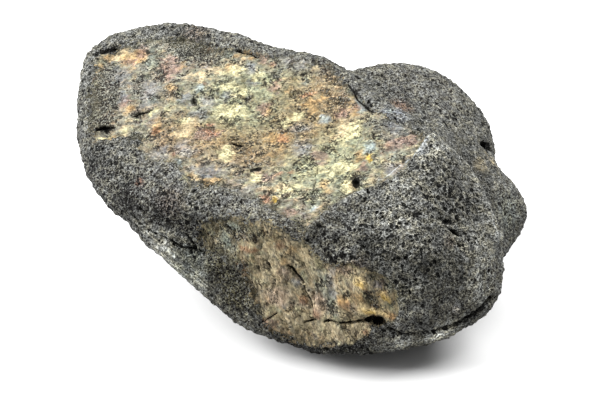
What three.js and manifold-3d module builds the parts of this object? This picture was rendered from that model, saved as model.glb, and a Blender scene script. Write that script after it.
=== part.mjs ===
// A chondrite meteorite: one hand-sized stone, fused over with a dark crust and broken open on its
// top and its front. Millimetres, +Z up. It stands on a small flat spot at z = 0, and the origin is
// the middle of its box's underside. +X runs along its length towards the boss, +Y towards its back.
//
// The stone is hewn from four convex lumps, given by their corners. Its skin is an icosphere laid
// over them, rounded as melting rounds a stone, and hollowed. Where the crust has broken away the
// rougher stone under it shows, a step lower. Cracks, pits and the ground flat are cut last.

import * as THREE from "three";
import { ConvexGeometry } from "three/addons/geometries/ConvexGeometry.js";
import { ImprovedNoise } from "three/addons/math/ImprovedNoise.js";
import { mergeVertices } from "three/addons/utils/BufferGeometryUtils.js";
import Module from "manifold-3d";

const wasm = await Module();
wasm.setup();

const point = (x, y, z) => new THREE.Vector3(x, y, z);

// ---------------------------------------------------------------- driving dimensions

const SKIN_DETAIL = 17; // 20 * (SKIN_DETAIL + 1)^2 triangles before the cuts
const SPREADING_PASSES = 14; // evens out the triangles over the long stone
const ROUNDING_PASSES = 7; // rounds the lumps' edges, to a radius of about 3 mm
const INWARD = 0.6; // how far a pass moves a vertex towards the middle of its neighbours
const OUTWARD = -0.5; // and back out, so that the stone keeps its size
const HEART = point(3, 8, 21); // every part of the skin can be seen from here

const SWELL = { height: 0.6, wave: 15 }; // broad unevenness of the crust
const RIPPLE = { height: 0.3, wave: 6 };
const CRUST_STEP = 0.7; // how far the broken stone lies under the crust
const BREAK_ROUGHNESS = { height: 0.45, wave: 4.5 };

// The slab: the long lump that carries the top break and leans out to the left.
const SLAB = [
  point(-48, 40.5, 43),
  point(-41, 44.5, 44.5),
  point(-27, 45, 47),
  point(-14, 36.5, 45.4),
  point(4, 28.5, 46),
  point(10.5, 24, 44.2),
  point(26, 4, 40.5),
  point(-1, -12, 30.5),
  point(-12, -8, 30.5),
  point(-26, -2, 30.5),
  point(-44, 14.5, 33.5),
  point(-48, 28, 37.5),
  point(-48, 24, 33),
  point(-46.5, 13.5, 28.5),
  point(-43.5, 8, 26),
  point(-39.5, 2, 25),
  point(-31, -1, 25),
  point(-33.5, 2.5, 19),
  point(-23, -3.5, 11.5),
  point(-13.5, -10.5, 5.5),
  point(-9, -13, 5),
  point(-4, -14, 3.5),
  point(4, -17, 2),
  point(-46, 36, 34),
  point(-44, 28, 27),
  point(-40, 41, 33),
  point(-26, 44, 26),
  point(-33, 22, 16),
  point(-16, 30, 9),
  point(-8, 38, 15),
  point(7, 33, 10),
  point(-15, 8, 2.5),
];

// The boss: the round-shouldered lump at the front right.
const BOSS = [
  point(26, 4, 40.5),
  point(16.5, -3.5, 36.5),
  point(-1, -12, 30.5),
  point(31.5, 4, 36.5),
  point(36, -2.5, 28),
  point(22, -14.5, 26.5),
  point(34, -9, 25),
  point(7, -16, 22),
  point(40.8, -5.5, 19.5),
  point(42.2, -6.5, 13),
  point(22, -19, 12),
  point(31.5, -15, 13),
  point(8, -17, 13),
  point(38.5, -9, 6.5),
  point(30, -12, 4.5),
  point(23, -15.5, 4),
  point(12, -17.3, 2.5),
  point(4, -17, 2),
];

// The shoulder: the dome behind the boss, which reaches furthest to the right.
const SHOULDER = [
  point(13.5, 27.5, 42),
  point(20.5, 35.2, 40.6),
  point(27, 36.7, 38.7),
  point(32.8, 33.7, 35.5),
  point(37.6, 27.2, 31.4),
  point(38.5, 18, 27.5),
  point(45, 9.5, 22),
  point(45.7, 8, 18),
  point(44, 8.5, 16.5),
  point(36, 4.5, 12),
  point(35, -2, 7),
  point(24, 6, 39),
  point(33, 5, 32),
  point(34, -3, 28),
  point(36.5, -4, 21),
  point(37, 30, 16),
  point(28, 36, 15),
  point(16, 37, 17),
  point(36, 14, 6),
  point(28, 26, 3),
  point(0, 28, 40),
  point(0, 10, 10),
];

// The belly, which fills in between the others underneath and carries the spot that it rests on.
const BELLY = [
  point(-17, 4, 5),
  point(-10, 28, 8),
  point(6, 33, 10),
  point(21, 34, 12),
  point(33, 24, 9),
  point(34, 8, 8),
  point(34, -4, 7),
  point(27, -12, 4.5),
  point(10, -15, 3.5),
  point(-7, -11, 5),
  point(34, 14, 3.5),
  point(24, 26, 3),
  point(2, 27, 3),
  point(28, -4, 1.5),
  point(-7, 15, -0.4),
  point(-6, 3, -0.4),
  point(4, -4, -0.4),
  point(15, -1, -0.4),
  point(18, 11, -0.4),
  point(10, 20, -0.4),
  point(0, 21, -0.4),
  point(0, 10, 30),
  point(20, 10, 30),
];

// Hollows in the crust. A depth under zero is a swelling.
const HOLLOWS = [
  { at: point(-20, -6, 27), reach: 11, depth: 1.5 }, // under the front ridge
  { at: point(-13, -9, 15), reach: 8, depth: 1.0 }, // left of the front break
  { at: point(-1, -13, 19), reach: 13, depth: 1.3 }, // the dished front break
  { at: point(33, 5, 35), reach: 9, depth: 1.2 }, // the valley between boss and shoulder
  { at: point(39, 3, 22), reach: 8, depth: 1.2 },
  { at: point(-6, 14, 38), reach: 20, depth: 0.9 }, // the dished middle of the top break
  { at: point(12.5, 25, 43.5), reach: 6, depth: 1.6 }, // the notch between slab and shoulder
  { at: point(-7, 33, 45), reach: 9, depth: 0.8 },
  { at: point(40.5, 17.5, 26), reach: 9, depth: 2.2 }, // the crevice in the shoulder's side
  { at: point(-35.5, 1, 24), reach: 7, depth: 1.3 }, // under the slab's end
  { at: point(22, -17, 17), reach: 9, depth: -0.6 }, // the belly of the boss
  { at: point(26, -2, 36), reach: 8, depth: -0.5 },
  { at: point(-30, 43, 37), reach: 10, depth: 1.1 }, // thumb marks on the back
  { at: point(-12, 39, 32), reach: 10, depth: 1.2 },
  { at: point(-27, 38, 22), reach: 11, depth: 1.3 },
  { at: point(-8, 36, 16), reach: 8, depth: 0.9 },
  { at: point(8, 33, 27), reach: 9, depth: 1.1 },
  { at: point(26, 36, 25), reach: 9, depth: 1.2 },
  { at: point(38, 24, 20), reach: 8, depth: 0.9 },
  { at: point(16, 33, 12), reach: 8, depth: 0.9 },
  { at: point(-38, 26, 25), reach: 10, depth: 1.1 }, // and on the underside of the slab's end
  { at: point(-25, 10, 14), reach: 10, depth: 1.0 },
];

// The top break, seen from above: round from its back left corner. Its prism leans with the slab.
const TOP_BREAK = [
  [-42.5, 35.5],
  [-38.5, 36],
  [-32, 37.5],
  [-24, 36],
  [-17, 32],
  [-3, 28.5],
  [5, 25],
  [8.9, 17.8],
  [13.7, 12],
  [19, 8.3],
  [23, 5.1],
  [18.9, -1.2],
  [16, -3.1],
  [8.9, -5.1],
  [4.9, -6.8],
  [1.1, -9.9],
  [-0.2, -11.4],
  [-4.4, -8],
  [-8.8, -4.8],
  [-13.5, -1.6],
  [-16.2, -0.1],
  [-22.6, 0.7],
  [-25.4, 5.8],
  [-31.1, 8.4],
  [-33.3, 12.8],
  [-37, 13.9],
  [-42.1, 14.4],
  [-43.5, 20],
  [-44, 27],
];
const TOP_PLANE = { rise: 35.1, alongX: 0.155, alongY: 0.36 }; // its height over the origin, and slopes

// The front break, seen from the front, in X and Z: round from its upper left corner.
const FRONT_BREAK = [
  [-19.9, 26.3],
  [-15.5, 28.5],
  [-10.6, 29.7],
  [-6.8, 30.3],
  [-4.9, 29.6],
  [-2.7, 27.8],
  [-0.2, 28.4],
  [1.1, 26.3],
  [2.6, 23.8],
  [8.3, 24.6],
  [11.1, 23.7],
  [14.9, 22.4],
  [16.8, 20.7],
  [17.6, 18.1],
  [17.3, 14.3],
  [15.1, 12.7],
  [12.6, 11.9],
  [11.9, 9.6],
  [8.5, 7.5],
  [0.8, 5.5],
  [-3.1, 5.4],
  [-6.6, 7.5],
  [-8.6, 9.9],
  [-9.7, 12.7],
  [-11.2, 16.5],
  [-12.5, 20.4],
  [-15.7, 20.3],
  [-19, 21.3],
  [-20.6, 22.9],
];

// Cracks, each along a route on the surface.
const CRACKS = [
  {
    width: 0.9, // round the foot of the boss
    depth: 4,
    route: [
      point(-0.6, -13.9, 9.9),
      point(3.2, -14.9, 10.8),
      point(8.5, -16.8, 11.7),
      point(12.8, -17.6, 12.5),
      point(15.7, -18, 12),
      point(18.5, -18.1, 10.5),
      point(24.7, -17.2, 10.6),
      point(29.8, -14.8, 10.6),
      point(33.7, -12.3, 12.2),
      point(36.5, -9.6, 13.5),
    ],
  },
  {
    width: 0.8, // under the slab's left end
    depth: 3,
    route: [
      point(-33, -0.5, 23.9),
      point(-29.8, -2.1, 22.9),
      point(-26.3, -3.7, 21.9),
      point(-22.5, -5.3, 20.9),
      point(-20.5, -6, 22),
    ],
  },
  {
    width: 0.6,
    depth: 2,
    route: [point(-9.2, -12.4, 7.7), point(-5, -13.1, 12)],
  },
  {
    width: 0.6, // down the front break
    depth: 2,
    route: [
      point(-4, -12.1, 22.4),
      point(-0.4, -13.3, 19.2),
      point(0.8, -13.8, 16.5),
      point(1.9, -14.5, 11.9),
    ],
  },
  {
    width: 0.8, // between the top break and the shoulder
    depth: 2.5,
    route: [point(8.9, 18.2, 43), point(11.2, 15, 42.2), point(13.7, 12.3, 41.6)],
  },
];
const CRACK_CLEARANCE = 1.5; // how far a crack's wedge stands out of the surface that it cuts

// Pits and holes, each an ellipsoid with its half sizes along X, Y and Z.
const PITS = [
  { at: point(-41.7, 38.1, 40.9), size: [2.6, 1.4, 1] },
  { at: point(-32.4, 18.5, 36.6), size: [2.4, 0.9, 1.3] },
  { at: point(-40.2, 16.3, 34.3), size: [2.8, 1.9, 1.7] },
  { at: point(-22.4, 20.1, 38.5), size: [1, 1.4, 1] },
  { at: point(-9.9, 2.8, 34), size: [1.8, 0.9, 1] },
  { at: point(9.5, -3.4, 34.6), size: [1.2, 1.7, 2] },
  { at: point(36.9, 16.3, 30), size: [1.3, 3, 1.6] },
  { at: point(13.2, -17.6, 13), size: [2.2, 2.6, 1.2] },
];

// ---------------------------------------------------------------- solids and meshes

// A geometry's shared vertices merged, with only its positions kept.
function welded(geometry) {
  const bare = geometry.index ? geometry.toNonIndexed() : geometry.clone();
  for (const name of ["normal", "uv"]) bare.deleteAttribute(name);
  return mergeVertices(bare, 1e-4);
}

function solidOf(geometry) {
  const merged = welded(geometry);
  return new wasm.Manifold(
    new wasm.Mesh({
      numProp: 3,
      vertProperties: merged.attributes.position.array,
      triVerts: new Uint32Array(merged.index.array),
    }),
  );
}

function geometryOf(solid) {
  const { numProp, numVert, vertProperties, triVerts } = solid.getMesh();
  const positions = new Float32Array(numVert * 3);
  for (let i = 0; i < numVert; i++) {
    positions.set(vertProperties.subarray(i * numProp, i * numProp + 3), i * 3);
  }
  return new THREE.BufferGeometry()
    .setAttribute("position", new THREE.BufferAttribute(positions, 3))
    .setIndex(new THREE.BufferAttribute(triVerts, 1));
}

const joined = (solids) => solids.reduce((whole, solid) => whole.add(solid));

// ---------------------------------------------------------------- the skin

// The lumps joined into one angular block.
function hewnBlock() {
  return joined([SLAB, BOSS, SHOULDER, BELLY].map((corners) => solidOf(new ConvexGeometry(corners))));
}

// Moves each vertex of the skin along the line from the heart onto the block's surface.
function castSkin(skin, block) {
  const target = new THREE.Mesh(block, new THREE.MeshBasicMaterial());
  const ray = new THREE.Raycaster();
  const places = skin.attributes.position;
  const far = 200;
  for (let i = 0; i < places.count; i++) {
    const outward = new THREE.Vector3().fromBufferAttribute(places, i).sub(HEART).normalize();
    ray.set(HEART.clone().addScaledVector(outward, far), outward.clone().negate());
    const [hit] = ray.intersectObject(target);
    places.setXYZ(i, hit.point.x, hit.point.y, hit.point.z);
  }
}

function neighboursOf(skin) {
  const around = Array.from({ length: skin.attributes.position.count }, () => new Set());
  const corners = skin.index.array;
  for (let t = 0; t < corners.length; t += 3) {
    for (let k = 0; k < 3; k++) {
      around[corners[t + k]].add(corners[t + ((k + 1) % 3)]);
      around[corners[t + k]].add(corners[t + ((k + 2) % 3)]);
    }
  }
  return around.map((set) => [...set]);
}

// Moves every vertex a share of the way to the middle of its neighbours.
function relax(skin, around, share) {
  const places = skin.attributes.position;
  const before = places.clone();
  const middle = new THREE.Vector3();
  const here = new THREE.Vector3();
  around.forEach((neighbours, i) => {
    middle.set(0, 0, 0);
    for (const n of neighbours) middle.add(here.fromBufferAttribute(before, n));
    middle.divideScalar(neighbours.length);
    here.fromBufferAttribute(before, i).lerp(middle, share);
    places.setXYZ(i, here.x, here.y, here.z);
  });
}

// An icosphere laid over the block, with triangles of about one size, and its edges rounded.
function roundedSkin(block) {
  const skin = welded(new THREE.IcosahedronGeometry(1, SKIN_DETAIL));
  skin.translate(HEART.x, HEART.y, HEART.z);
  const around = neighboursOf(skin);
  castSkin(skin, block);
  for (let pass = 0; pass < SPREADING_PASSES; pass++) {
    relax(skin, around, INWARD);
    castSkin(skin, block);
  }
  for (let pass = 0; pass < ROUNDING_PASSES; pass++) {
    relax(skin, around, INWARD);
    relax(skin, around, OUTWARD);
  }
  return skin;
}

// ---------------------------------------------------------------- relief

const noise = new ImprovedNoise();

const unevenness = (place, { height, wave }) =>
  height * noise.noise(place.x / wave, place.y / wave, place.z / wave);

// How far a place on the crust stands out of the rounded skin.
function crustRelief(place) {
  let rise = unevenness(place, SWELL) + unevenness(place, RIPPLE);
  for (const { at, reach, depth } of HOLLOWS) {
    const near = Math.max(0, 1 - place.distanceTo(at) / reach);
    rise -= depth * near * near * (3 - 2 * near);
  }
  return rise;
}

const breakRelief = (place) => unevenness(place, BREAK_ROUGHNESS) - CRUST_STEP;

// A copy of a skin, each vertex moved along its normal by what the relief says there.
function raised(skin, relief) {
  const copy = skin.clone();
  copy.computeVertexNormals();
  const places = copy.attributes.position;
  const place = new THREE.Vector3();
  const normal = new THREE.Vector3();
  for (let i = 0; i < places.count; i++) {
    place.fromBufferAttribute(places, i);
    normal.fromBufferAttribute(copy.attributes.normal, i);
    place.addScaledVector(normal, relief(place));
    places.setXYZ(i, place.x, place.y, place.z);
  }
  return copy;
}

// ---------------------------------------------------------------- what is cut away

function prism(outline, depth) {
  const shape = new THREE.Shape(outline.map(([u, v]) => new THREE.Vector2(u, v)));
  return new THREE.ExtrudeGeometry(shape, { depth, bevelEnabled: false });
}

// A prism over the top break, sheared to lean as the slab's top does.
function topBreakPrism() {
  const under = 4; // how deep it starts below the top plane
  const lean = new THREE.Matrix4();
  const { rise, alongX, alongY } = TOP_PLANE;
  lean.set(1, 0, 0, 0, 0, 1, 0, 0, alongX, alongY, 1, rise - under, 0, 0, 0, 1);
  return solidOf(prism(TOP_BREAK, 15).applyMatrix4(lean));
}

// A prism through the front break, from inside the stone out to the front.
function frontBreakPrism() {
  return solidOf(prism(FRONT_BREAK, 40).rotateX(Math.PI / 2).translate(0, -2, 0));
}

// A wedge along a crack's route: open outwards, tapered at its ends, closing towards the heart.
function crackWedge({ route, width, depth }) {
  const sections = route.map((place, i) => {
    const last = route.length - 1;
    const along = route[Math.min(i + 1, last)].clone().sub(route[Math.max(i - 1, 0)]);
    const inward = HEART.clone().sub(place).normalize();
    const open = i === 0 || i === last ? 0.35 : 1;
    const half = ((open * width) / 2) * ((depth + CRACK_CLEARANCE) / depth);
    const across = along.cross(inward).setLength(half);
    const mouth = place.clone().addScaledVector(inward, -CRACK_CLEARANCE);
    const bottom = place.clone().addScaledVector(inward, depth);
    return [mouth.clone().add(across), mouth.clone().sub(across), bottom];
  });
  const lengths = sections.slice(1).map((section, i) => new ConvexGeometry([...sections[i], ...section]));
  return joined(lengths.map(solidOf));
}

function pitBall({ at, size }) {
  return solidOf(new THREE.IcosahedronGeometry(1, 2).scale(...size).translate(at.x, at.y, at.z));
}

function belowGround() {
  return solidOf(new THREE.BoxGeometry(300, 300, 100).translate(0, 0, -50));
}

// ---------------------------------------------------------------- the stone

function stoneGeometry() {
  const skin = roundedSkin(geometryOf(hewnBlock()));
  const crust = raised(skin, crustRelief);
  const brokenStone = solidOf(raised(crust, breakRelief));
  const lostCrust = joined([topBreakPrism(), frontBreakPrism()]).subtract(brokenStone);
  const cuts = joined([...CRACKS.map(crackWedge), ...PITS.map(pitBall), belowGround()]);
  const stone = geometryOf(solidOf(crust).subtract(lostCrust).subtract(cuts));
  stone.computeBoundingBox();
  const middle = stone.boundingBox.getCenter(new THREE.Vector3());
  return stone.translate(-middle.x, -middle.y, 0);
}

const stone = new THREE.Mesh(
  stoneGeometry(),
  new THREE.MeshStandardMaterial({ color: 0x5a5852, roughness: 0.85, metalness: 0.05 }),
);
stone.name = "stone";
stone.geometry.computeVertexNormals();

const chondrite = new THREE.Group();
chondrite.add(stone);

export default chondrite;
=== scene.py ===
"""A chondrite meteorite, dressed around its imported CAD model.

The stone is one piece. Its skin starts as the CAD solid, remeshed finely and smoothed, and is then
given its crust, its two breaks, its cracks and its pits. Lengths in this file are in millimetres,
in the CAD frame, and the finished mesh is in metres. +X runs along the stone towards the boss,
+Y towards its back, and +Z up.
"""

import math

import bpy
import numpy as np
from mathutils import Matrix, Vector


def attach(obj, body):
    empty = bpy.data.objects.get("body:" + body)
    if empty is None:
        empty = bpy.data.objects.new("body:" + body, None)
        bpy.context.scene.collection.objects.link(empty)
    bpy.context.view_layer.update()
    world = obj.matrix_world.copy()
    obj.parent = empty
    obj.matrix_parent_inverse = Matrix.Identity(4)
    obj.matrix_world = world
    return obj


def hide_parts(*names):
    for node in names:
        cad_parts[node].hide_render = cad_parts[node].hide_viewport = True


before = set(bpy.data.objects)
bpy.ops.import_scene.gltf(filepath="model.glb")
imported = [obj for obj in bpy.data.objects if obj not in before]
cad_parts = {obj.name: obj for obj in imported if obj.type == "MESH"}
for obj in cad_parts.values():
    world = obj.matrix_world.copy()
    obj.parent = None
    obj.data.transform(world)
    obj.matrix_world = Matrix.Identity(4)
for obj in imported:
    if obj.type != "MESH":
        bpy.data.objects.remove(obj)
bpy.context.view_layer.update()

METRES = 0.001  # one millimetre

# ---------------------------------------------------------------- shape

COARSE_VOXEL = 0.4
FINE_VOXEL = 0.27
CLOSING = 0.55  # cracks and holes narrower than twice this are closed before new ones are cut
SMOOTHING_PASSES = 26
MOST_TRIANGLES = 198000

CRUST_STEP = 0.7  # how far the CAD solid's broken stone lies under its crust; here it is half that

# Round the top break, seen from above.
TOP_BREAK = [
    (-41.2, 22.9), (-37.2, 23.4), (-30.7, 24.9), (-22.7, 23.4), (-15.7, 19.4), (-1.7, 15.9),
    (6.3, 12.4), (10.2, 5.2), (15, -0.6), (20.3, -4.3), (24.3, -7.5), (20.2, -13.8),
    (17.3, -15.7), (10.2, -17.7), (6.2, -19.4), (2.4, -22.5), (1.1, -24), (-3.1, -20.6),
    (-7.5, -17.4), (-12.2, -14.2), (-14.9, -12.7), (-21.3, -11.9), (-24.1, -6.8), (-29.8, -4.2),
    (-32, 0.2), (-35.7, 1.3), (-40.8, 1.8), (-42.2, 7.4), (-42.7, 14.4),
]
TOP_FLOOR = (33.5, 0.155, 0.36)  # the break's surface is above this height, plus slopes along X and Y

# Round the front break, seen from the front, in X and Z.
FRONT_BREAK = [
    (-18.6, 26.3), (-14.2, 28.5), (-9.3, 29.7), (-5.5, 30.3), (-3.6, 29.6), (-1.4, 27.8),
    (1.1, 28.4), (2.4, 26.3), (3.9, 23.8), (9.6, 24.6), (12.4, 23.7), (16.2, 22.4),
    (18.1, 20.7), (18.9, 18.1), (18.6, 14.3), (16.4, 12.7), (13.9, 11.9), (13.2, 9.6),
    (9.8, 7.5), (2.1, 5.5), (-1.8, 5.4), (-5.3, 7.5), (-7.3, 9.9), (-8.4, 12.7),
    (-9.9, 16.5), (-11.2, 20.4), (-14.4, 20.3), (-17.7, 21.3), (-19.3, 22.9),
]
FRONT_LIMIT = -14.5  # the front break's surface is in front of this, in Y
FAR_OUTSIDE = -9.0  # the depth inside a break of what is nowhere near it

# Cracks: half width, depth and route.
CRACKS = [
    (0.14, 0.8, [(0.7, -26.3, 9.8), (2.1, -26.4, 10.3), (3.5, -26.6, 10.8)]),
    (0.22, 1.6, [
        (4.5, -27.3, 10.6), (5.8, -27.4, 11.2), (7.9, -28.2, 11.4), (9.8, -28.9, 11.7),
        (11.7, -29.2, 12.4), (14.1, -29.2, 12.6),
    ]),
    (0.32, 1.3, [(12.4, -29.2, 12.6), (14.1, -29.3, 12.9), (15.7, -29.7, 12.8), (16.9, -30.0, 12.1)]),
    (0.32, 1.8, [
        (16.4, -29.9, 12.3), (17.0, -30.0, 12.0), (18.1, -30.5, 11.3), (19.8, -30.5, 10.4),
        (23.1, -31.1, 10.6), (26.0, -30.0, 10.6),
    ]),
    (0.6, 1.8, [
        (25.0, -30.4, 10.6), (28.7, -28.4, 10.2), (31.1, -27.2, 10.6), (33.0, -26.2, 11.2),
        (35.0, -24.9, 12.2), (36.5, -24.2, 13.3), (37.8, -23.2, 13.8),
    ]),
    (0.26, 1.3, [
        (-2.5, -23.6, 21.8), (-1.4, -23.8, 21.1), (-0.6, -24.1, 19.8), (0.5, -24.4, 18.9),
        (1.0, -24.6, 18.0),
    ]),
    (0.11, 0.6, [
        (1.0, -24.6, 18.0), (1.0, -24.7, 16.4), (2.2, -25.3, 14.7), (2.6, -25.7, 13.2),
        (3.5, -25.9, 11.1),
    ]),
    (0.11, 0.6, [(-8.1, -25.2, 8.0), (-7.1, -24.7, 8.8), (-5.8, -24.7, 9.7), (-3.9, -25.0, 11.4)]),
    (0.12, 0.5, [(-6.5, -22.3, 21.9), (-5.9, -22.6, 21.3), (-5.3, -22.9, 20.2)]),
    (0.22, 1.2, [
        (-33.2, -10.8, 24.4), (-31.7, -12.3, 23.4), (-28.2, -14.5, 22.5), (-24.5, -16.0, 21.6),
        (-23.1, -16.8, 20.8),
        (-20.0, -17.7, 20.8), (-18.3, -18.5, 20.4),
    ]),
    (0.16, 0.8, [(-22.2, -16.3, 23.7), (-20.5, -17.2, 21.8), (-19.7, -17.3, 20.8)]),
    (0.16, 0.4, [(9.5, 7.8, 43.2), (10.5, 5.8, 42.8), (11.9, 3.1, 41.6), (14.8, -0.3, 41.7)]),
    (0.06, 0.3, [(3.2, -13.2, 34.2), (2.8, -15.6, 33.5), (2.2, -17.9, 32.3)]),
    (0.1, 0.2, [
        (-33.4, 6.1, 36.3), (-32.4, 6.5, 36.5), (-31.2, 6.6, 36.8), (-30.0, 6.6, 37.1),
        (-29.0, 6.9, 37.5),
    ]),
    (0.16, 0.6, [(-41.4, 4.6, 34.0), (-40.1, 5.0, 34.0), (-38.7, 5.2, 34.2), (-36.4, 4.6, 34.6)]),
    (0.16, 0.7, [(-13.7, -2.3, 35.6), (-11.7, -2.9, 35.2), (-10.1, -3.1, 35.3)]),
    (0.13, 0.6, [(-12.6, -4.6, 34.6), (-10.0, -5.2, 34.7)]),
    (0.5, 1.2, [(36.9, 4.2, 31.5), (38.2, 6.3, 29.3), (39.4, 6.6, 27.6), (40.1, 7.0, 25.4)]),
    (0.36, 0.9, [(-43.5, 23.2, 40.9), (-42.4, 23.4, 41.2), (-40.7, 23.3, 41.6), (-37.6, 23.9, 42.3)]),
    (0.16, 0.6, [(-14.5, -17.4, 27.0), (-12.7, -18.6, 26.2)]),
    (0.13, 0.6, [(-13.0, 19.0, 44.5), (-10.5, 18.1, 44.3), (-7.9, 17.5, 44.1)]),
    (0.3, 1.0, [(28.3, -21.5, 28.8), (29.3, -21.7, 28.1), (30.7, -21.9, 27.2)]),
    (0.2, 0.7, [(30.0, -23.0, 26.5), (30.9, -23.3, 25.6)]),
]

# Pale lines of painted highlight along the top break's rim and the boss's edge: half width and route.
RIM_HIGHLIGHTS = [
    (0.1, [
        (16.1, -15.3, 35.6), (17.7, -14.2, 36.6), (19.5, -12.8, 37.1), (20.8, -11.9, 37.6),
        (21.9, -11.7, 38.5), (22.9, -10.8, 39.0), (25.1, -8.2, 39.8),
    ]),
    (0.08, [(21.5, -11.9, 38.4), (23.1, -11.7, 38.7), (24.5, -10.5, 39.3)]),
    (0.08, [(22.3, -11.0, 38.9), (23.2, -9.3, 39.6), (24.8, -8.3, 39.9)]),
    (0.06, [(36.6, -16.4, 27.2), (37.5, -18.5, 24.6), (37.9, -20.0, 22.5)]),
]

# Where the boss meets the top break, up to the peak, and the boss's edge from the peak down.
BREAK_RIM = [(9.6, -18.8, 33.3), (16.1, -15.3, 35.6), (20.8, -11.9, 37.6), (25.1, -8.2, 39.8)]
BOSS_EDGE = [
    (25.1, -8.2, 39.8), (28.0, -8.6, 38.0), (31.0, -7.5, 35.0), (33.3, -8.3, 32.8),
    (34.0, -11.3, 31.7), (35.4, -14.4, 29.6), (36.8, -16.3, 26.9), (38.2, -18.1, 23.9),
]

# Ridges, and valleys with a height under 0: height, half width and route.
RIDGES = [
    (0.7, 1.1, [(2.1, -23.4, 30.2), *BREAK_RIM]),
    (1.0, 1.6, BOSS_EDGE),
    (-0.9, 1.8, [
        (32.9, -2.0, 33.7), (34.6, -4.6, 31.7), (36.0, -7.6, 30.0), (37.5, -11.2, 28.2),
        (38.8, -13.0, 26.0),
    ]),
    (-0.7, 1.2, [(36.5, 3.5, 32.0), (38.8, 6.5, 28.6), (40.3, 7.3, 25.0)]),
    (0.4, 1.0, [(-29.8, -13.6, 24.6), (-26.2, -15.4, 23.3), (-22.6, -16.6, 22.2)]),
]

# Holes: where, and half sizes along X, Y and Z.
HOLES = [
    ((-40.4, 5.2, 34.0), (1.0, 0.9, 0.8)),
    ((-38.5, 5.6, 34.0), (1.2, 1.1, 0.8)),
    ((-36.9, 5.2, 34.3), (0.7, 0.7, 0.6)),
    ((-21.2, 8.6, 38.7), (0.35, 0.6, 0.6)),
    ((-8.5, -9.4, 34.0), (1.2, 0.4, 0.5)),
    ((10.9, -14.5, 34.6), (0.75, 1.6, 1.0)),
    ((28.0, -20.4, 29.5), (0.6, 0.6, 0.6)),
]

# Where the crust is thick with large pits, up to 1, or smoother than elsewhere, down to -1: the
# middle, how far, and how much.
PITTED = [
    ((26.8, -15.9, 34.8), 5.5, 1.0),
    ((29.7, -16.8, 32.0), 4.5, 1.0),
    ((21.5, -19.5, 32.5), 4.0, 0.8),
    ((11.5, -23.5, 30.2), 5.0, 0.8),
    ((16.5, -24.0, 29.5), 5.0, 0.8),
    ((8.0, -26.0, 27.0), 4.0, 1.0),
    ((22.0, -26.5, 26.0), 5.0, 0.8),
    ((19.0, -28.1, 23.0), 4.0, 0.8),
    ((30.0, -24.0, 25.0), 3.5, 0.6),
    ((-35.5, -8.0, 28.5), 4.0, 0.5),
    ((-26.0, -13.5, 28.8), 3.5, 0.8),
    ((-20.5, -15.8, 26.5), 3.5, 0.8),
    ((35.6, -5.5, 31.0), 3.2, -1.0),
    ((37.2, -10.5, 28.5), 2.8, -1.0),
    ((31.5, -1.5, 35.5), 4.0, -0.6),
    ((28.5, -7.5, 38.0), 2.2, -0.8),
    ((37.0, -20.0, 23.0), 3.0, -0.5),
]

# Where the crust is scored by fine parallel streaks: how far from a route, and the route. Then which
# way those streaks run, and the streaks of the front break.
SCORED = (3.4, [(-33.3, -10.9, 24.3), (-29.2, -14.3, 21.5), (-21.4, -18.4, 15.5), (-9.6, -24.6, 8.0)])
SCORES_RUN = (0.75, -0.43, -0.5)
FRONT_RUN = (0.46, -0.1, -0.89)

# ---------------------------------------------------------------- colour

# The stone's minerals and stains, as linear colours. Most of these values, and the crust's shares of
# tone and painted light and shade further down, were scaled by a program to averages measured in the
# photograph.
COLOURS = {
    "straw": (0.119, 0.128, 0.078),
    "sand": (0.079, 0.048, 0.021),
    "ash": (0.041, 0.041, 0.035),
    "cream": (0.212, 0.171, 0.105),
    "ochre": (0.179, 0.118, 0.054),
    "salmon": (0.103, 0.066, 0.055),
    "rust": (0.115, 0.050, 0.026),
    "sulphur": (0.210, 0.196, 0.115),
    "gold": (0.28, 0.18, 0.025),
    "slate": (0.072, 0.076, 0.082),
    "frost": (0.144, 0.182, 0.196),
    "sage": (0.064, 0.076, 0.066),
    "pale": (0.117, 0.113, 0.109),
    "umber": (0.023, 0.014, 0.009),
    "soot": (0.024, 0.022, 0.016),
    "tan": (0.170, 0.142, 0.090),
    "moss": (0.029, 0.027, 0.016),
    "honey": (0.421, 0.327, 0.171),
    "mauve": (0.202, 0.149, 0.114),
}

# What shows in the finest detail: pores in the crust, black with painted shade, and its pale specks,
# which are painted glints; slits and painted glints in the broken stone; pale lines of painted highlight
# along rims; and the dark inside cracks and holes, which is painted shade.
PORE_SHADE = (0.001, 0.001, 0.0008)
SPECK_GLINT = (0.17, 0.17, 0.16)
SLIT = (0.005, 0.0045, 0.0035)
GLINT = (0.2, 0.2, 0.17)
RIM_HIGHLIGHT = (0.24, 0.255, 0.26)
HOLE_SHADE = (0.003, 0.003, 0.0025)

# Where a spot's edge starts and ends, as shares of its half size.
SOFT = (0.4, 1.6)
CRISP = (0.82, 1.14)

# Small patches all over the breaks, under the coats: colour, strength, size and how rare they are.
MOTTLES = [
    ("ash", 0.36, 1.5, 0.1), ("cream", 0.32, 1.2, 0.25), ("salmon", 0.28, 1.7, 0.25),
    ("slate", 0.28, 1.3, 0.3), ("ochre", 0.24, 1.3, 0.35), ("straw", 0.4, 1.1, 0.3),
]

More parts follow.
